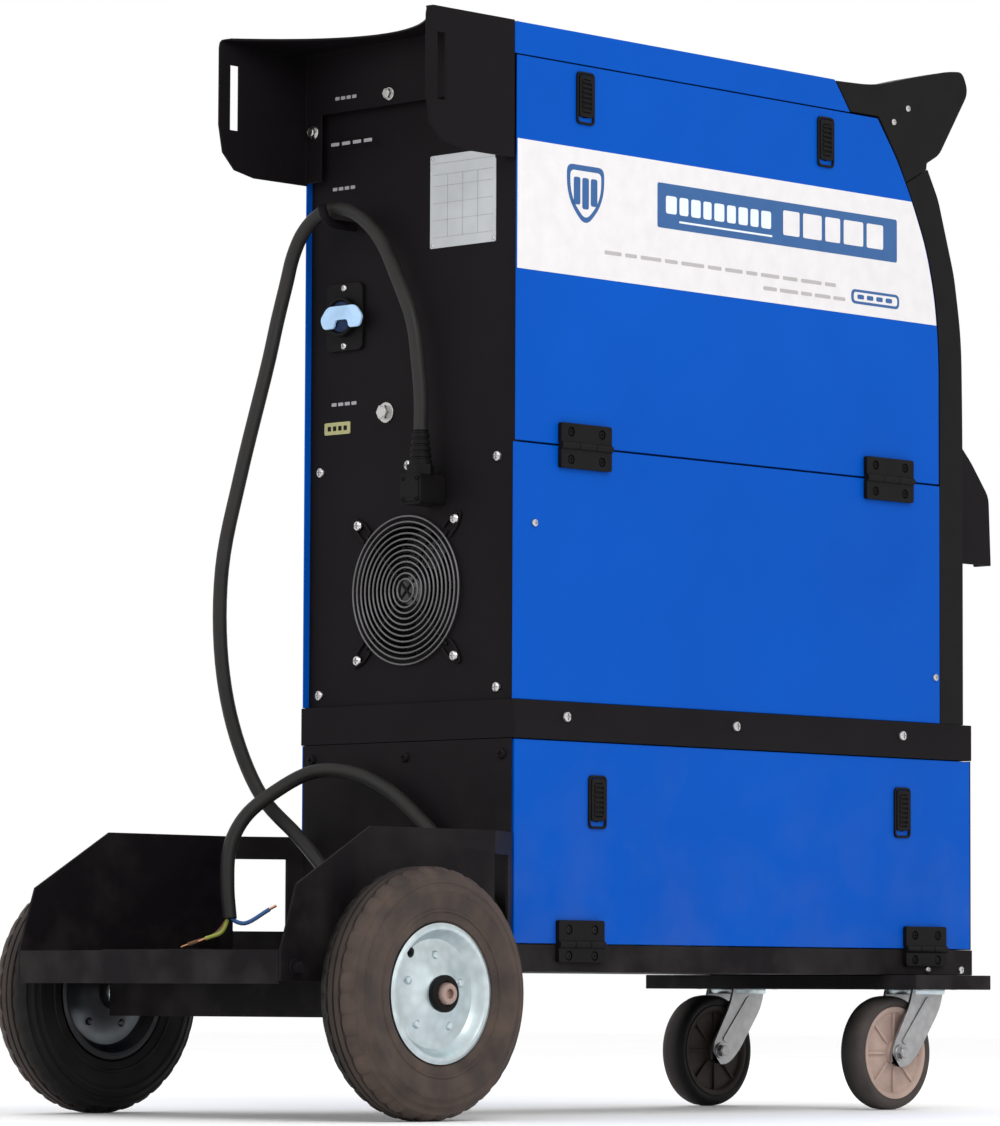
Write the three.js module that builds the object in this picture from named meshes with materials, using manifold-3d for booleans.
// MIG welder on its own cart: a tall sheet-metal power source with a wire feeder
// behind the upper side door, a water cooler in the lower box, two fixed rear
// wheels on one axle, two swivel casters and a rear shelf for a gas cylinder.
//
// Frame: millimetres, +Z up, front towards -Y, -X is the side with the doors.
// The origin is on the floor, under the centre of the outer box.

import * as THREE from 'three';
import { mergeVertices } from 'three/addons/utils/BufferGeometryUtils.js';
import Module from 'manifold-3d';

const wasm = await Module();
wasm.setup();

// ---------------------------------------------------------------- dimensions

const GAP = 0.3; // between pieces that touch
const SHEET = 1.5; // cabinet sheet steel
const PLATE = 3; // frame and shelf plate

const HALF_LENGTH = 575; // of the whole machine, origin to shelf lip or torch socket
const HALF_WIDTH = 155; // of the cabinet
const REAR_Y = 212; // rear edge of the cabinet's sides
const COOLER_FRONT_Y = -530;
const DECK_FRONT_Y = -527;
const BEZEL_FRONT_Y = -514.5;
const BEZEL_REAR_Y = -474;

const BASE_BOTTOM = 148;
const BASE_TOP = 176;
const COOLER_TOP = 387;
const DECK_TOP = 427;
const SEAM_Z = 693; // between the fixed left panel and the feeder door
const DOOR_TOP = 1094;
const COVER_BOTTOM = 1095.5;
const BODY_TOP = 1129;
const REAR_PANEL_Y = 204; // outer face, set back between the sides

const WHEEL_RADIUS = 125;
const WHEEL_WIDTH = 58;
const WHEEL_TRACK_HALF = 239.4;
const RIM_RADIUS = 69.5;
const AXLE_Y = 424.5;
const AXLE_RADIUS = 10;
const AXLE_END_X = 277;

const CASTER_RADIUS = 62.5;
const CASTER_WIDTH = 30;
const CASTER_STEM_X = 132;
const CASTER_STEM_Y = -459;
const CASTER_TRAIL = 52;
const CASTER_PLATE_Y = [-507, -378];
const CASTER_PLATE_HALF = 200;
const CASTER_PLATE_BOTTOM = 132;
const CROWN_TOP = 134;
const LEG_FACES = [17.5, 20.5]; // inner and outer face of a fork leg

const SHELF_TOP = 167;
const SHELF_BOTTOM = 134;
const SHELF_HALF = 193.5; // outer faces of the side plates
const SHELF_FLARE_Y = 276; // where the side plates stop spreading
const SHELF_SIDE_TOP = 290;
const SHELF_PAD = [[-80, 80], [365, 562]]; // pressed up 1 mm, where the cylinder stands
const CHAMFER = [[453, SHELF_SIDE_TOP], [554, 231], [HALF_LENGTH, SHELF_TOP]]; // of the side plates
const SIDE_WINDOW = [[227, 277], [190, 266]]; // Y, Z

const HINGE_AXIS_X = -159.5;
const DOOR_CLEARANCE = 1; // at the feeder door's front edge, which swings past the bezel
const CHEEK_WIDTH = 26; // of the handle moulding
const FAN_CENTRE = [6, 546]; // X, Z
const FAN_FRAME_HALF = 76;
const FAN_HOLE_RADIUS = 70;
const FAN_PITCH_HALF = 73.5; // screw pattern
const GUARD_RADIUS = 87;

const SPOOL_RADIUS = 150;
const SPOOL_X = [-128, -28];
const SPOOL_Y = 30;
const SPOOL_Z = 872;
const SPINDLE_RADIUS = 25;
const PARTITION_X = 20;

const TORCH_X = -95;
const TORCH_Z = 665;
const TORCH_TILT = THREE.MathUtils.degToRad(28);

const CABLE_RADIUS = 7.5;
const GLAND_X = -34;
const GLAND_Y = 226;
const HOOK_X = 88;
const HOOK_Z = 937;

const FINE = 28; // segments of a large round
const COARSE = 16; // segments of a small round

// ----------------------------------------------------------------- finishes

const COLOURS = {
  blue: 0x0a55b8,
  black: 0x1d1c1f,
  plastic: 0x201f22,
  zinc: 0xc3cbd0,
  tyre: 0x46403c,
  caster: 0x5a504c,
  white: 0xe6e4e0,
  brass: 0xb08d4a,
  copper: 0xb87333,
  grey: 0x8a8d90,
};

function finish(colour, roughness, metalness) {
  return new THREE.MeshStandardMaterial({ color: COLOURS[colour], roughness, metalness });
}

const MATERIALS = {
  blue: () => finish('blue', 0.4, 0.1),
  black: () => finish('black', 0.55, 0.1),
  plastic: () => finish('plastic', 0.6, 0),
  zinc: () => finish('zinc', 0.35, 0.9),
  tyre: () => finish('tyre', 0.85, 0),
  caster: () => finish('caster', 0.7, 0),
  white: () => finish('white', 0.5, 0),
  brass: () => finish('brass', 0.3, 1),
  copper: () => finish('copper', 0.4, 1),
  grey: () => finish('grey', 0.5, 0.4),
};

// ------------------------------------------------------------ shape helpers

// Shared vertices merged and collapsed triangles dropped, so the mesh is closed.
function closed(geometry) {
  const bare = geometry.index ? geometry.clone() : mergeVertices(geometry);
  bare.deleteAttribute('normal');
  bare.deleteAttribute('uv');
  const merged = mergeVertices(bare, 1e-4);
  const index = [];
  for (let i = 0; i < merged.index.count; i += 3) {
    const [a, b, c] = [0, 1, 2].map((k) => merged.index.getX(i + k));
    if (a !== b && b !== c && c !== a) {
      index.push(a, b, c);
    }
  }
  merged.setIndex(index);
  return merged;
}

function solid(geometry) {
  const merged = closed(geometry);
  return new wasm.Manifold(new wasm.Mesh({
    numProp: 3,
    vertProperties: new Float32Array(merged.attributes.position.array),
    triVerts: new Uint32Array(merged.index.array),
  }));
}

function geometryOf(body) {
  const mesh = body.getMesh();
  const geometry = new THREE.BufferGeometry();
  geometry.setAttribute('position', new THREE.Float32BufferAttribute(mesh.vertProperties, 3));
  geometry.setIndex(Array.from(mesh.triVerts));
  return geometry;
}

function joined(...geometries) {
  return geometryOf(geometries.map(solid).reduce((sum, next) => sum.add(next)));
}

function cut(geometry, ...tools) {
  return geometryOf(tools.map(solid).reduce((rest, tool) => rest.subtract(tool), solid(geometry)));
}

function between(a, b) {
  return a < b ? [a, b] : [b, a];
}

// A block between three pairs of faces.
function block([x0, x1], [y0, y1], [z0, z1]) {
  const box = new THREE.BoxGeometry(x1 - x0, y1 - y0, z1 - z0);
  return box.translate((x0 + x1) / 2, (y0 + y1) / 2, (z0 + z1) / 2);
}

// A closed outline whose corners [a, b, radius] are rounded where a radius is given.
function outline(corners) {
  const shape = new THREE.Shape();
  corners.forEach(([a, b, radius = 0], i) => {
    const corner = new THREE.Vector2(a, b);
    if (radius === 0) {
      i === 0 ? shape.moveTo(a, b) : shape.lineTo(a, b);
      return;
    }
    const before = corners[(i + corners.length - 1) % corners.length];
    const after = corners[(i + 1) % corners.length];
    const back = new THREE.Vector2(before[0] - a, before[1] - b).setLength(radius).add(corner);
    const ahead = new THREE.Vector2(after[0] - a, after[1] - b).setLength(radius).add(corner);
    i === 0 ? shape.moveTo(back.x, back.y) : shape.lineTo(back.x, back.y);
    shape.quadraticCurveTo(a, b, ahead.x, ahead.y);
  });
  shape.closePath();
  return shape;
}

function extruded(corners, depth) {
  const options = { depth, bevelEnabled: false, curveSegments: 3 };
  return new THREE.ExtrudeGeometry(outline(corners), options);
}

// Outlines drawn in (Y, Z) and pulled along X.
function alongX(corners, [x0, x1]) {
  const turn = new THREE.Matrix4().makeBasis(
    new THREE.Vector3(0, 1, 0),
    new THREE.Vector3(0, 0, 1),
    new THREE.Vector3(1, 0, 0),
  );
  return extruded(corners, x1 - x0).applyMatrix4(turn).translate(x0, 0, 0);
}

// Outlines drawn in (X, Z) and pulled along Y.
function alongY(corners, [y0, y1]) {
  const turn = new THREE.Matrix4().makeBasis(
    new THREE.Vector3(1, 0, 0),
    new THREE.Vector3(0, 0, 1),
    new THREE.Vector3(0, -1, 0),
  );
  return extruded(corners, y1 - y0).applyMatrix4(turn).translate(0, y1, 0);
}

// Outlines drawn in (X, Y) and pulled along Z.
function alongZ(corners, [z0, z1]) {
  return extruded(corners, z1 - z0).translate(0, 0, z0);
}

// A turned body. The profile is [radius, distance along the axis], its outer side rising.
function turned(profile, axis, segments = COARSE) {
  const points = profile.map(([radius, along]) => new THREE.Vector2(radius, along));
  const body = new THREE.LatheGeometry(points, segments);
  if (axis === 'x') {
    body.rotateZ(-Math.PI / 2);
  } else if (axis === 'z') {
    body.rotateX(Math.PI / 2);
  }
  return body;
}

function rod(radius, [from, to], axis, segments = COARSE) {
  return turned([[0, from], [radius, from], [radius, to], [0, to]], axis, segments);
}

function ring(inner, outer, [from, to], axis, segments = COARSE) {
  const profile = [[inner, from], [outer, from], [outer, to], [inner, to], [inner, from]];
  return turned(profile, axis, segments);
}

// A round bar bent along a smooth curve through the given points.
function bentBar(points, radius, sides, steps) {
  const section = new THREE.Shape();
  for (let i = 0; i < sides; i += 1) {
    const angle = (2 * Math.PI * i) / sides;
    const [a, b] = [radius * Math.cos(angle), radius * Math.sin(angle)];
    i === 0 ? section.moveTo(a, b) : section.lineTo(a, b);
  }
  section.closePath();
  const path = new THREE.CatmullRomCurve3(points.map((p) => new THREE.Vector3(...p)), false, 'centripetal');
  return new THREE.ExtrudeGeometry(section, { steps, extrudePath: path, bevelEnabled: false });
}

// ------------------------------------------------------------------ the tree

const welder = new THREE.Group();

function add(name, geometry, material, place = [0, 0, 0], parent = welder) {
  const mesh = new THREE.Mesh(closed(geometry), MATERIALS[material]());
  mesh.name = name;
  mesh.position.set(...place);
  parent.add(mesh);
  return mesh;
}

const SIDES = [['left', -1], ['right', 1]];

// ------------------------------------------------------------ cart and base

function pan([x0, x1], [y0, y1], [z0, z1], wall, floorAtTop) {
  const inside = floorAtTop ? [z0 - 1, z1 - wall] : [z0 + wall, z1 + 1];
  return cut(
    block([x0, x1], [y0, y1], [z0, z1]),
    block([x0 + wall, x1 - wall], [y0 + wall, y1 - wall], inside),
  );
}

function baseFrame() {
  return pan([-HALF_WIDTH, HALF_WIDTH], [COOLER_FRONT_Y, REAR_Y], [BASE_BOTTOM, BASE_TOP], PLATE, false);
}

function casterPlate() {
  const height = [CASTER_PLATE_BOTTOM, BASE_BOTTOM - GAP];
  return pan([-CASTER_PLATE_HALF, CASTER_PLATE_HALF], CASTER_PLATE_Y, height, PLATE, true);
}

// Shelf floor with its rear flange turned down, and the channel that houses the axle.
function shelfTray() {
  const inner = SHELF_HALF - PLATE - GAP;
  const start = REAR_Y + GAP;
  const neck = HALF_WIDTH - PLATE - 2;
  const plan = [
    [-neck, start], [neck, start], [inner, SHELF_FLARE_Y + 4], [inner, HALF_LENGTH],
    [-inner, HALF_LENGTH], [-inner, SHELF_FLARE_Y + 4],
  ];
  const floor = alongZ(plan, [SHELF_TOP - PLATE, SHELF_TOP]);
  const pad = block(...SHELF_PAD, [SHELF_TOP - 1, SHELF_TOP + 1]);
  const lip = block([-inner, inner], [HALF_LENGTH - PLATE, HALF_LENGTH], [SHELF_BOTTOM, SHELF_TOP]);
  const channelHalf = 27;
  const channelBottom = 101;
  const channelWall = channelHalf - PLATE;
  const channelTop = SHELF_TOP - PLATE + 1;
  const channelEnd = inner - PLATE;
  const channel = cut(
    block([-inner, inner], [AXLE_Y - channelHalf, AXLE_Y + channelHalf], [channelBottom, channelTop]),
    block([-channelEnd, channelEnd], [AXLE_Y - channelWall, AXLE_Y + channelWall],
      [channelBottom - 1, channelTop + 1]),
    rod(AXLE_RADIUS + GAP, [-SHELF_HALF, SHELF_HALF], 'x').translate(0, AXLE_Y, WHEEL_RADIUS),
  );
  return joined(floor, pad, lip, channel);
}

// Side plate: bent in towards the cabinet at its front, windowed there, chamfered at the rear.
function shelfSide(side) {
  const outer = SHELF_HALF * side;
  const inner = (SHELF_HALF - PLATE) * side;
  const start = REAR_Y + GAP;
  const wall = alongZ([
    [HALF_WIDTH * side, start], [outer, SHELF_FLARE_Y], [outer, HALF_LENGTH],
    [inner, HALF_LENGTH], [inner, SHELF_FLARE_Y + 1], [(HALF_WIDTH - 4) * side, start],
  ], [SHELF_BOTTOM + 2.5, SHELF_SIDE_TOP]);
  const span = between(0, side * (SHELF_HALF + 5));
  const [top, back] = [SHELF_SIDE_TOP + 10, HALF_LENGTH + 25];
  const chamfer = alongX([[CHAMFER[0][0], top], ...CHAMFER, [back, SHELF_TOP], [back, top]], span);
  return cut(wall, chamfer, block(span, ...SIDE_WINDOW));
}

function wheelAxle() {
  const shoulder = WHEEL_TRACK_HALF - WHEEL_WIDTH / 2 - 3;
  const nut = WHEEL_TRACK_HALF + WHEEL_WIDTH / 2 + 1;
  return turned([
    [0, -AXLE_END_X], [13, -AXLE_END_X], [13, -nut], [AXLE_RADIUS, -nut],
    [AXLE_RADIUS, -shoulder], [16, -shoulder], [16, -shoulder + 4], [AXLE_RADIUS, -shoulder + 4],
    [AXLE_RADIUS, shoulder - 4], [16, shoulder - 4], [16, shoulder], [AXLE_RADIUS, shoulder],
    [AXLE_RADIUS, nut], [13, nut], [13, AXLE_END_X], [0, AXLE_END_X],
  ], 'x').translate(0, AXLE_Y, WHEEL_RADIUS);
}

function rearTyre() {
  const half = WHEEL_WIDTH / 2;
  const inner = RIM_RADIUS + GAP;
  return turned([
    [inner, -half + 6], [inner + 12, -half + 2], [WHEEL_RADIUS - 28, -half], [WHEEL_RADIUS - 8, -half + 5],
    [WHEEL_RADIUS, -half + 16], [WHEEL_RADIUS, half - 16], [WHEEL_RADIUS - 8, half - 5],
    [WHEEL_RADIUS - 28, half], [inner + 12, half - 2], [inner, half - 6], [inner, -half + 6],
  ], 'x', FINE);
}

function rearRim() {
  const half = WHEEL_WIDTH / 2;
  const bore = AXLE_RADIUS + GAP;
  return turned([
    [bore, -half], [20, -half], [22, -8], [48, -4], [58, -half + 8], [RIM_RADIUS, -half + 6],
    [RIM_RADIUS, half - 6], [58, half - 8], [48, 4], [22, 8], [20, half], [bore, half], [bore, -half],
  ], 'x', FINE);
}

function casterHead() {
  const top = BASE_BOTTOM - GAP - PLATE - GAP;
  const bottom = CROWN_TOP + GAP;
  const race = ring(9, 31, [bottom, bottom + 4.5], 'z');
  const plate = alongZ([[-42, -34, 6], [42, -34, 6], [42, 34, 6], [-42, 34, 6]], [bottom + 3.5, top]);
  return joined(plate, race, rod(12, [bottom, top], 'z'));
}

// Crown and two legs with the wheel's axle, drawn with the swivel axis at the origin.
function casterFork() {
  const crown = rod(30, [CROWN_TOP - 6, CROWN_TOP], 'z');
  const legs = SIDES.map(([, side]) => {
    const faces = between(LEG_FACES[0] * side, LEG_FACES[1] * side);
    return alongX([
      [-20, CROWN_TOP - 1], [-14, 112], [CASTER_TRAIL - 15, 55, 6], [CASTER_TRAIL + 4, 48, 6],
      [CASTER_TRAIL + 15, 62, 6], [26, CROWN_TOP - 1],
    ], faces);
  });
  const pin = rod(5, [-24, 24], 'x').translate(0, CASTER_TRAIL, CASTER_RADIUS);
  return joined(crown, ...legs, pin);
}

function casterWheel() {
  const half = CASTER_WIDTH / 2;
  const bore = 5 + GAP;
  return turned([
    [bore, -half - 1.5], [13, -half - 1.5], [38, -half + 5], [42, -half],
    [CASTER_RADIUS - 6, -half], [CASTER_RADIUS, -half + 7], [CASTER_RADIUS, half - 7],
    [CASTER_RADIUS - 6, half], [42, half], [38, half - 5], [13, half + 1.5],
    [bore, half + 1.5], [bore, -half - 1.5],
  ], 'x', 24);
}

function addCart() {
  add('base_frame', baseFrame(), 'black');
  add('caster_plate', casterPlate(), 'black');
  add('shelf_tray', shelfTray(), 'black');
  add('wheel_axle', wheelAxle(), 'zinc');
  for (const [name, side] of SIDES) {
    add(`shelf_side_${name}`, shelfSide(side), 'black');
    const wheelPlace = [side * WHEEL_TRACK_HALF, AXLE_Y, WHEEL_RADIUS];
    add(`rear_tyre_${name}`, rearTyre(), 'tyre', wheelPlace);
    add(`rear_rim_${name}`, rearRim(), 'zinc', wheelPlace);
    const caster = new THREE.Group();
    caster.position.set(side * CASTER_STEM_X, CASTER_STEM_Y, 0);
    welder.add(caster);
    add(`caster_head_${name}`, casterHead(), 'zinc', [0, 0, 0], caster);
    add(`caster_fork_${name}`, casterFork(), 'zinc', [0, 0, 0], caster);
    add(`caster_wheel_${name}`, casterWheel(), 'caster', [0, CASTER_TRAIL, CASTER_RADIUS], caster);
  }
}

// --------------------------------------------------------------- cooler box

const COOLER_Z = [BASE_TOP + GAP, COOLER_TOP - GAP];

// Sheet door with its edges turned in. The outline is in (Y, Z), the outer face at -X.
function doorPan(corners, insetCorners) {
  const outer = -HALF_WIDTH;
  return cut(
    alongX(corners, [outer, outer + 12]),
    alongX(insetCorners, [outer + SHEET, outer + 20]),
  );
}

function latchSlot(y, z) {
  return block([-HALF_WIDTH - 5, -HALF_WIDTH + 5], [y - 5, y + 5], [z - 20, z + 14]);
}

function coolerDoor() {
  const [z0, z1] = [COOLER_Z[0] + 0.7, COOLER_Z[1] - 0.7];
  const [y0, y1] = [COOLER_FRONT_Y + 4, REAR_Y - 3];
  const pan = doorPan(
    [[y0, z0], [y1, z0], [y1, z1], [y0, z1]],
    [[y0 + SHEET, z0 + SHEET], [y1 - SHEET, z0 + SHEET], [y1 - SHEET, z1 - SHEET], [y0 + SHEET, z1 - SHEET]],
  );
  return COOLER_LATCHES.reduce((door, [, y, z]) => cut(door, latchSlot(y, z)), pan);
}

// Slide latch: thumb plate outside, stem through the slot and a keeper tongue inside.
function slideLatch() {
  const face = -HALF_WIDTH;
  const plate = alongX([[-11, -25, 3], [11, -25, 3], [11, 25, 3], [-11, 25, 3]], [face - 4, face - GAP]);
  const grip = alongX([[-9, -8], [9, -8], [9, 8], [-9, 8]], [face - 7, face - 3.5]);
  const stem = block([face - 1, face + 4], [-3.5, 3.5], [-10, 12]);
  const tongue = block([face + 2, face + 4], [-8, 8], [-12, 20]);
  return joined(plate, grip, stem, tongue);
}

// Moving hinge leaf with its knuckle on the axis through the origin.
function hingeLeaf(length, height) {
  const half = length / 2;
  const leaf = block([-2, 4.2], [-half, half], [2, height]);
  const knuckle = rod(4, [-half, half], 'y', 16);
  return joined(leaf, knuckle);
}

function addHinges(name, places, axisZ, height) {
  for (const [end, y, length] of places) {
    add(`${name}_${end}`, hingeLeaf(length, height), 'plastic', [HINGE_AXIS_X, y, axisZ]);
  }
}

const COOLER_LATCHES = [['rear', 85.5, 324], ['front', -407, 326]];

function addCooler() {
  const [z0, z1] = COOLER_Z;
  const inner = HALF_WIDTH - SHEET - GAP;
  add('cooler_rear_panel', block([-inner, inner], [REAR_Y - SHEET, REAR_Y], [z0, z1]), 'black');
  add('cooler_front_panel', cut(
    block([-inner, inner], [COOLER_FRONT_Y, COOLER_FRONT_Y + SHEET], [z0, z1]),
    rod(24, [COOLER_FRONT_Y - 5, COOLER_FRONT_Y + 5], 'y').translate(80, 0, 330),
  ), 'black');
  const right = block([HALF_WIDTH - SHEET, HALF_WIDTH], [COOLER_FRONT_Y, REAR_Y], [z0, z1]);
  add('cooler_right_panel', right, 'blue');
  add('cooler_door', coolerDoor(), 'blue');
  addHinges('cooler_hinge', [['rear', 112.5, 69], ['front', -444, 69]], BASE_TOP + GAP, 25);
  for (const [end, y, z] of COOLER_LATCHES) {
    add(`cooler_latch_${end}`, slideLatch(), 'plastic', [0, y, z]);
  }

  const floor = BASE_BOTTOM + PLATE + GAP;
  const tank = joined(
    alongZ([[-120, -170, 18], [110, -170, 18], [110, 170, 18], [-120, 170, 18]], [floor, 352]),
    rod(26, [-190, -160], 'y').translate(60, 0, 320),
  );
  add('coolant_tank', tank, 'white');
  const pump = joined(
    rod(52, [-440, -270], 'y', 32).translate(-40, 0, 232),
    rod(34, [-468, -438], 'y').translate(-40, 0, 232),
    block([-85, 5], [-420, -290], [floor, 200]),
  );
  add('coolant_pump', pump, 'grey');
}

// ------------------------------------------------------------- upper cabinet

// Deck between the two boxes: one plate with a flange standing both ways all round.
function deckFrame() {
  const half = HALF_WIDTH + 2;
  const [y0, y1] = [DECK_FRONT_Y, REAR_Y];
  const inside = [[-half + PLATE, half - PLATE], [y0 + PLATE, y1 - PLATE]];
  return cut(
    block([-half, half], [y0, y1], [COOLER_TOP, DECK_TOP - GAP]),
    block(...inside, [COOLER_TOP - 1, 404]),
    block(...inside, [407, DECK_TOP + 1]),
  );
}

// Front edge of the cabinet's sides, from the deck up to the door's top corner.
const FRONT_EDGE = [[BEZEL_REAR_Y, DECK_TOP], [BEZEL_REAR_Y, 840], [-468, 900], [-452.5, 957], [-428, 1008],
  [-402, 1052], [-369, DOOR_TOP]];

function sidePanelRight() {
  const corners = [...FRONT_EDGE, [REAR_Y, DOOR_TOP], [REAR_Y, DECK_TOP]];
  return alongX(corners, [HALF_WIDTH - SHEET, HALF_WIDTH]);
}

function sidePanelLeft() {
  return block([-HALF_WIDTH, -HALF_WIDTH + SHEET], [BEZEL_REAR_Y, REAR_Y], [DECK_TOP, SEAM_Z - 1]);
}

const FEEDER_LATCHES = [['rear', 107, 1059.5], ['front', -278, 1057]];

function feederDoor() {
  const bottom = SEAM_Z + 1;
  const above = FRONT_EDGE.filter(([, z]) => z > bottom);
  const edge = [[BEZEL_REAR_Y, bottom], ...above].map(([y, z]) => [y + DOOR_CLEARANCE, z]);
  const inset = edge.map(([y, z], i) => [
    y + 2 * SHEET,
    z + (i === 0 ? SHEET : 0) - (i === edge.length - 1 ? SHEET : 0),
  ]);
  const [rear, rearInset] = [REAR_Y - 3, REAR_Y - 3 - SHEET];
  const pan = doorPan(
    [...edge, [rear, DOOR_TOP], [rear, bottom]],
    [...inset, [rearInset, DOOR_TOP - SHEET], [rearInset, bottom + SHEET]],
  );
  // The turned-in edges stop short of the rear panel, which the door's face laps.
  const lap = block([-HALF_WIDTH + SHEET, -HALF_WIDTH + 20], [REAR_PANEL_Y - 4, REAR_Y], [SEAM_Z, BODY_TOP]);
  return FEEDER_LATCHES.reduce((door, [, y, z]) => cut(door, latchSlot(y, z)), cut(pan, lap));
}

function rearPanel() {
  const inner = HALF_WIDTH - SHEET - GAP;
  const [fanX, fanZ] = FAN_CENTRE;
  const sheet = cut(
    block([-inner, inner], [REAR_PANEL_Y - 2, REAR_PANEL_Y], [DECK_TOP, BODY_TOP - SHEET - GAP]),
    rod(FAN_HOLE_RADIUS, [REAR_PANEL_Y - 10, REAR_PANEL_Y + 10], 'y', FINE).translate(fanX, 0, fanZ),
  );
  const hook = bentBar([
    [HOOK_X, REAR_PANEL_Y - 1, HOOK_Z], [HOOK_X, REAR_PANEL_Y + 25, HOOK_Z],
    [HOOK_X, REAR_PANEL_Y + 42, HOOK_Z + 3], [HOOK_X, REAR_PANEL_Y + 50, HOOK_Z + 18],
  ], 5, 10, 10);
  return joined(sheet, hook);
}

// The cover's side flanges end in a slope at the front, where the handle moulding starts.
function topCover() {
  const front = [[-295, BODY_TOP], [-321, COVER_BOTTOM]];
  const inside = [-HALF_WIDTH + SHEET, HALF_WIDTH - SHEET];
  return cut(
    alongX([[REAR_Y, COVER_BOTTOM], [REAR_Y, BODY_TOP, 3], ...front], [-HALF_WIDTH, HALF_WIDTH]),
    block(inside, [-400, REAR_Y + 10], [COVER_BOTTOM - 10, BODY_TOP - SHEET]),
  );
}

const BEZEL_FRONT = [[BEZEL_FRONT_Y, DECK_TOP], [BEZEL_FRONT_Y, 760], [-512.5, 862], [-500, 931],
  [-472.5, 1014], [-454, 1046]];

function frontBezel() {
  const ahead = FRONT_EDGE.slice(0, -2).map(([y, z]) => [y - 0.6, z]);
  const body = alongX([...BEZEL_FRONT, [-417.6, 1027], ...ahead.reverse()], [-HALF_WIDTH, HALF_WIDTH]);
  const wall = 4;
  const cavity = alongX([
    [-380, DECK_TOP + wall], [BEZEL_FRONT_Y + wall, DECK_TOP + wall], [BEZEL_FRONT_Y + wall, 760],
    [-508.5, 861], [-496, 930], [-470, 1008], [-380, 1008],
  ], [-HALF_WIDTH + wall, HALF_WIDTH - wall]);
  const torchHole = rod(24, [BEZEL_FRONT_Y - 10, BEZEL_FRONT_Y + 10], 'y').translate(TORCH_X, 0, TORCH_Z);
  return cut(body, cavity, torchHole);
}

// Handle moulding: two cheeks, the grip bar between them and the sloping deck behind it.
function frontHandle() {
  const cheek = [
    [-297.2, BODY_TOP - 1], [-366, 1130.5], [-417, 1144.5, 12], [-491, 1161.5, 8], [-516, 1164, 6],
    [-527, 1142, 8], [-502, 1105, 14], [-475, 1065, 5], [-453, 1053], [-452.6, 1046.2], [-417, 1027.8],
    [-402.8, 1052.4], [-370, 1096.5], [-322, 1096.5],
  ];
  const cheeks = SIDES.map(([, side]) => {
    const faces = between((HALF_WIDTH - CHEEK_WIDTH) * side, HALF_WIDTH * side);
    return alongX(cheek, faces);
  });
  const grip = alongX([[-475, 1134, 10], [-517, 1134, 10], [-518, 1160, 10], [-483, 1157, 10]],
    [-HALF_WIDTH + 10, HALF_WIDTH - 10]);
  const slope = alongX([
    [-299.5, BODY_TOP - 2], [-365, 1105], [-411, 1069], [-449, 1048.5], [-417, 1031.5], [-399, 1063],
    [-360, 1098], [-302, 1120],
  ], [-HALF_WIDTH + 15, HALF_WIDTH - 15]);
  return joined(...cheeks, grip, slope);
}

// Feeder floor and the wall that parts the feeder from the electronics.
function partitionWall() {
  const inner = -HALF_WIDTH + SHEET + GAP;
  const [y0, y1] = [-458, REAR_PANEL_Y - 3];
  const sheet = alongY([
    [inner, SEAM_Z - 5], [PARTITION_X + 2, SEAM_Z - 5], [PARTITION_X + 2, 1018], [PARTITION_X, 1018],
    [PARTITION_X, SEAM_Z - 3], [inner, SEAM_Z - 3],
  ], [y0, y1]);
  const reach = [PARTITION_X - 10, PARTITION_X + 10];
  return cut(
    sheet,
    rod(34, reach, 'x').translate(0, -330, 770),
    alongX([[-470, 930], [-400, 1030], [-470, 1030]], reach),
  );
}

// Rest for the gas cylinder: two slotted wings and a top plate with a curved edge between
// them, bolted to the rear through flanges turned down and in.
function cylinderSaddle() {
  const [front, back] = [REAR_Y + GAP, 342];
  const [z0, z1] = [986, 1130];
  const wall = 2.5;
  const half = HALF_WIDTH - wall;
  const shell = cut(
    alongX([[front, z0], [back, z0, 52], [back, z1, 10], [front, z1]], [-HALF_WIDTH, HALF_WIDTH]),
    block([-half, half], [front - 10, back + 10], [z0 - 10, z1 - wall]),
  );
  const deepest = 245;
  const steps = 20;
  const curve = [];
  for (let i = 0; i <= steps; i += 1) {
    const across = 1 - (2 * i) / steps;
    curve.push([half * across, deepest + (back - deepest) * across ** 2]);
  }
  const seat = alongZ([...curve, [-half, back + 60], [half, back + 60]], [z1 - 20, z1 + 10]);
  const slots = SIDES.map(([, side]) => block([side * 160 - 20, side * 160 + 20], [314, 326], [1034, 1103]));
  const topFlange = block([-HALF_WIDTH + 1, HALF_WIDTH - 1], [front, front + wall], [1060, z1 - 1]);
  const sideFlanges = SIDES.map(([, side]) => {
    const reach = between(side * (HALF_WIDTH - 1), side * (HALF_WIDTH - 26));
    return block(reach, [front, front + wall], [z0 + 2, 1070]);
  });
  return joined(cut(shell, seat, ...slots), topFlange, ...sideFlanges);
}

function addCabinet() {
  add('deck_frame', deckFrame(), 'black');
  add('side_panel_left', sidePanelLeft(), 'blue');
  add('side_panel_right', sidePanelRight(), 'blue');
  add('feeder_door', feederDoor(), 'blue');
  addHinges('feeder_hinge', [['rear', 107.5, 77], ['front', -383, 80]], SEAM_Z, 23);
  for (const [end, y, z] of FEEDER_LATCHES) {
    add(`feeder_latch_${end}`, slideLatch(), 'plastic', [0, y, z]);
  }
  add('rear_panel', rearPanel(), 'black');
  add('top_cover', topCover(), 'blue');
  add('front_bezel', frontBezel(), 'plastic');
  add('front_handle', frontHandle(), 'plastic');
  add('partition_wall', partitionWall(), 'grey');
  add('cylinder_saddle', cylinderSaddle(), 'black');
}

// ------------------------------------------------------------- rear fittings

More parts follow.
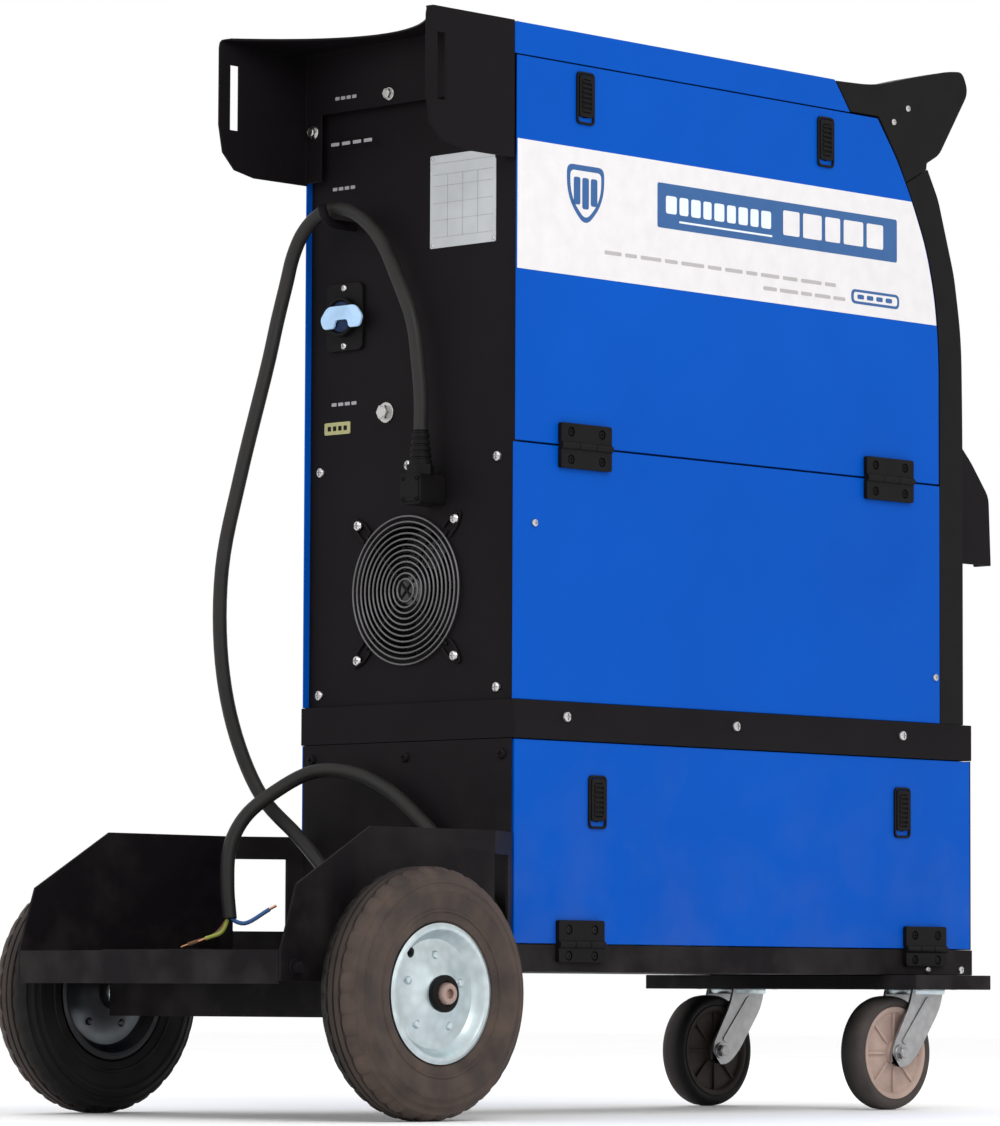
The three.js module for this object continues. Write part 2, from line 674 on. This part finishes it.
function fanGuard() {
  const rings = [GUARD_RADIUS, 58, 28].map((radius) => ring(radius - 4, radius, [0, 3], 'y', 20));
  const arms = [45, 135].map((angle) => block([-GUARD_RADIUS + 2, GUARD_RADIUS - 2], [0.2, 2.8], [-3, 3])
    .rotateY(THREE.MathUtils.degToRad(angle)));
  const lugs = [45, 135, 225, 315].map((angle) => block([GUARD_RADIUS - 4, FAN_PITCH_HALF * Math.SQRT2 + 6],
    [0.1, 2.9], [-6, 6]).rotateY(THREE.MathUtils.degToRad(angle)));
  return joined(...rings, ...arms, ...lugs);
}

function fanFrame() {
  const half = FAN_FRAME_HALF;
  const frame = cut(
    alongY([[-half, -half, 8], [half, -half, 8], [half, half, 8], [-half, half, 8]], [0, 38]),
    rod(FAN_HOLE_RADIUS, [-5, 45], 'y', 36),
  );
  const spokes = [0, 120, 240].map((angle) => block([10, FAN_HOLE_RADIUS + 3], [0, 4], [-4, 4])
    .rotateY(THREE.MathUtils.degToRad(angle)));
  return joined(frame, ...spokes, rod(24, [0, 5], 'y'));
}

function fanRotor() {
  const bladeCount = 7;
  const blades = [];
  for (let i = 0; i < bladeCount; i += 1) {
    const blade = block([20, FAN_HOLE_RADIUS - 3], [-1.2, 1.2], [-15, 15]);
    blade.rotateX(THREE.MathUtils.degToRad(50)).translate(0, 21, 0);
    blades.push(blade.rotateY((2 * Math.PI * i) / bladeCount));
  }
  return joined(rod(25, [6, 36], 'y'), ...blades);
}

function addRearFittings() {
  const [fanX, fanZ] = FAN_CENTRE;
  const fanDepth = 38;
  const frameY = REAR_PANEL_Y - 2 - GAP - fanDepth;
  add('fan_guard', fanGuard(), 'zinc', [fanX, REAR_PANEL_Y + GAP, fanZ]);
  add('fan_frame', fanFrame(), 'plastic', [fanX, frameY, fanZ]);
  add('fan_rotor', fanRotor(), 'plastic', [fanX, frameY, fanZ]);

  const socket = cut(
    joined(
      alongY([[-27, -36, 6], [27, -36, 6], [27, 36, 6], [-27, 36, 6]], [0, 4]),
      rod(21, [0, 12], 'y'),
    ),
    rod(17, [5, 20], 'y'),
  );
  add('heater_socket', socket, 'plastic', [99, REAR_PANEL_Y + GAP, 841]);

  // Terminal box with the mains gland on top, its strain relief tapering up the cable.
  const [bottom, top] = [632, 664];
  const [x0, x1] = [GLAND_X - 15, GLAND_X + 15];
  const depth = [REAR_PANEL_Y + GAP, GLAND_Y + 15];
  const gland = joined(
    alongY([[x0, bottom, 4], [x1, bottom, 4], [x1, top, 4], [x0, top, 4]], depth),
    turned([[0, top - 5], [13, top - 5], [13, top + 8], [10.5, top + 10], [9, 710], [0, 710]], 'z')
      .translate(GLAND_X, GLAND_Y, 0),
  );
  add('cable_gland', gland, 'plastic');
}

// ------------------------------------------------------------ front fittings

// Hood over the torch connection, open below and in front.
function torchGuard() {
  const half = 52;
  const face = BEZEL_FRONT_Y - GAP;
  const profile = [[face, 748], [-540, 724, 6], [-571, 687, 8], [-574.7, 609], [face, 609]];
  const inside = [[face + 5, 740], [-537, 721], [-567.5, 684], [-571, 600], [face + 5, 600]];
  return cut(
    alongX(profile, [TORCH_X - half, TORCH_X + half]),
    alongX(inside, [TORCH_X - half + 3, TORCH_X + half - 3]),
    rod(29, [-620, -540], 'y').translate(TORCH_X, 0, 642),
    block([TORCH_X - 29, TORCH_X + 29], [-620, -545], [590, 642]),
  );
}

function torchSocket() {
  const face = BEZEL_FRONT_Y - GAP;
  const flange = rod(31, [face - 6, face], 'y').translate(TORCH_X, 0, TORCH_Z);
  const stub = rod(15, [face - 3, face + 30], 'y').translate(TORCH_X, 0, TORCH_Z);
  const nose = joined(rod(20, [-52, 0], 'y'), rod(15, [-90, -50], 'y')).rotateX(TORCH_TILT);
  nose.translate(TORCH_X, face - 3, TORCH_Z);
  const trimmed = cut(
    nose,
    block([-200, 0], [-700, -HALF_LENGTH], [500, 800]),
    block([-200, 0], [face - 1, -400], [500, 800]),
  );
  return joined(flange, stub, trimmed);
}

function powerSocket() {
  return cut(
    joined(
      rod(27, [-9, -GAP], 'y'),
      rod(20, [-26, -8], 'y'),
    ),
    rod(7, [-40, -12], 'y'),
  );
}

// Pointer knob turning about -Y, its skirt nearest the panel.
function knob(radius, height) {
  const body = turned([
    [0, -height], [radius * 0.72, -height], [radius * 0.8, -height + 3], [radius * 0.85, -6],
    [radius, -4], [radius, -GAP], [0, -GAP],
  ], 'y');
  const pointer = block([-1.6, 1.6], [-height - 1.5, -4], [0, radius * 0.82]);
  return joined(body, pointer);
}

function switchHandle() {
  return joined(rod(19, [-9, -GAP], 'y'), block([-6, 6], [-24, -8], [-22, 22]));
}

function addFrontFittings() {
  add('torch_guard', torchGuard(), 'black');
  add('torch_socket', torchSocket(), 'grey');
  add('power_socket_positive', powerSocket(), 'plastic', [20, BEZEL_FRONT_Y, 500]);
  add('power_socket_negative', powerSocket(), 'plastic', [100, BEZEL_FRONT_Y, 500]);
  add('mains_switch', switchHandle(), 'plastic', [95, BEZEL_FRONT_Y, 640]);

  // The control panel leans back between these two points of the bezel's front.
  const [low, high] = [BEZEL_FRONT[3], BEZEL_FRONT[4]];
  const lean = Math.atan2(high[0] - low[0], high[1] - low[1]);
  const panel = new THREE.Group();
  panel.position.set(0, (low[0] + high[0]) / 2, (low[1] + high[1]) / 2);
  panel.rotation.x = -lean;
  welder.add(panel);
  add('voltage_knob', knob(19, 20), 'plastic', [75, 0, -6], panel);
  add('wire_speed_knob', knob(19, 20), 'plastic', [-75, 0, -6], panel);
}

// ----------------------------------------------------------------- internals

function powerModule() {
  const core = block([-118, 118], [-360, 120], [432, 640]);
  const fins = [];
  for (let x = -112; x <= 112; x += 28) {
    fins.push(block([x - 3, x + 3], [-350, 110], [639, 672]));
  }
  return joined(core, ...fins);
}

function feedDrive() {
  const plate = block([-10, PARTITION_X - GAP], [-405, -275], [715, 810]);
  const motor = rod(32, [PARTITION_X - 5, 130], 'x').translate(0, -330, 770);
  const shaft = rod(4, [-24, 0], 'x', 16).translate(0, -352, 742);
  const pivot = rod(4, [-26, 0], 'x', 16).translate(0, -292, 782);
  return joined(plate, motor, shaft, pivot);
}

function driveRoll() {
  return ring(4 + GAP, 17, [-22, -10 - GAP], 'x');
}

// Pressure arm drawn with its pivot at the origin, reaching forward over the drive roll.
function pressureArm() {
  const arm = alongX([[-104, 2, 4], [10, -8, 4], [10, 8, 4], [-60, 18, 8], [-104, 12, 4]], [-24, -12]);
  const idler = rod(16, [-23, -13], 'x').translate(0, -60, -4);
  return cut(joined(arm, idler), rod(4 + GAP, [-40, 0], 'x'));
}

function spoolSpindle() {
  const tip = SPOOL_X[0] - 8;
  return turned([
    [0, tip], [14, tip], [20, tip + 5], [SPINDLE_RADIUS, tip + 12], [SPINDLE_RADIUS, SPOOL_X[1] + 4],
    [42, SPOOL_X[1] + 4], [42, PARTITION_X - GAP], [0, PARTITION_X - GAP],
  ], 'x').translate(0, SPOOL_Y, SPOOL_Z);
}

function wireSpool() {
  const [x0, x1] = SPOOL_X;
  const bore = SPINDLE_RADIUS + GAP;
  const wireRadius = 124;
  return turned([
    [bore, x0], [SPOOL_RADIUS, x0], [SPOOL_RADIUS, x0 + 4], [wireRadius, x0 + 5], [wireRadius, x1 - 5],
    [SPOOL_RADIUS, x1 - 4], [SPOOL_RADIUS, x1], [bore, x1], [bore, x0],
  ], 'x', FINE);
}

function addInternals() {
  add('power_module', powerModule(), 'grey');
  add('feed_drive', feedDrive(), 'grey');
  add('drive_roll', driveRoll(), 'zinc', [0, -352, 742]);
  add('pressure_arm', pressureArm(), 'plastic', [0, -292, 782]);
  add('spool_spindle', spoolSpindle(), 'plastic');
  add('wire_spool', wireSpool(), 'copper', [0, SPOOL_Y, SPOOL_Z]);
}

// --------------------------------------------------------------- mains cable

// Up from the gland, over the hook, down to the shelf, once round it in a standing loop
// that leans on the lower rear panel, and down to the bare end just above the shelf.
const CABLE_ROUTE = [
  [-34, 226, 710.3], [-34, 226, 742], [-31, 227, 778], [-22, 227, 826], [-1, 229, 873], [19, 231, 911],
  [41, 233, 935], [62, 235, 948], [86, 236, 952], [111, 237, 947], [132, 238, 931], [145, 240, 907],
  [151, 244, 877], [153, 255, 836], [155, 265, 794], [168, 293, 669], [178, 309, 571], [176, 310, 472],
  [170, 294, 394], [150, 275, 331], [106, 266, 290], [57, 279, 259], [12, 297, 232], [-31, 321, 205],
  [-78, 345, 187], [-122, 345, 178], [-157, 321, 175], [-171, 288, 180], [-166, 254, 193], [-140, 228, 215],
  [-90, 222, 258], [-38, 228, 305], [6, 233, 337], [51, 242, 355], [90, 259, 356], [120, 289, 333],
  [136, 313, 308], [142, 328, 277], [138, 335, 235], [132, 337, 202],
];

function mainsCable() {
  return bentBar(CABLE_ROUTE, CABLE_RADIUS, 8, 62);
}

function addCable() {
  add('mains_cable', mainsCable(), 'plastic');
  const [last, before] = [CABLE_ROUTE.at(-1), CABLE_ROUTE.at(-2)].map((p) => new THREE.Vector3(...p));
  const ahead = last.clone().sub(before).normalize();
  const cores = turned([[0, GAP], [6, GAP], [7, 10], [5, 26], [0, 26]], 'y', 12);
  const mesh = add('mains_cable_end', cores, 'brass', last.toArray());
  mesh.quaternion.setFromUnitVectors(new THREE.Vector3(0, 1, 0), ahead);
}

addCart();
addCooler();
addCabinet();
addRearFittings();
addFrontFittings();
addInternals();
addCable();

export default welder;
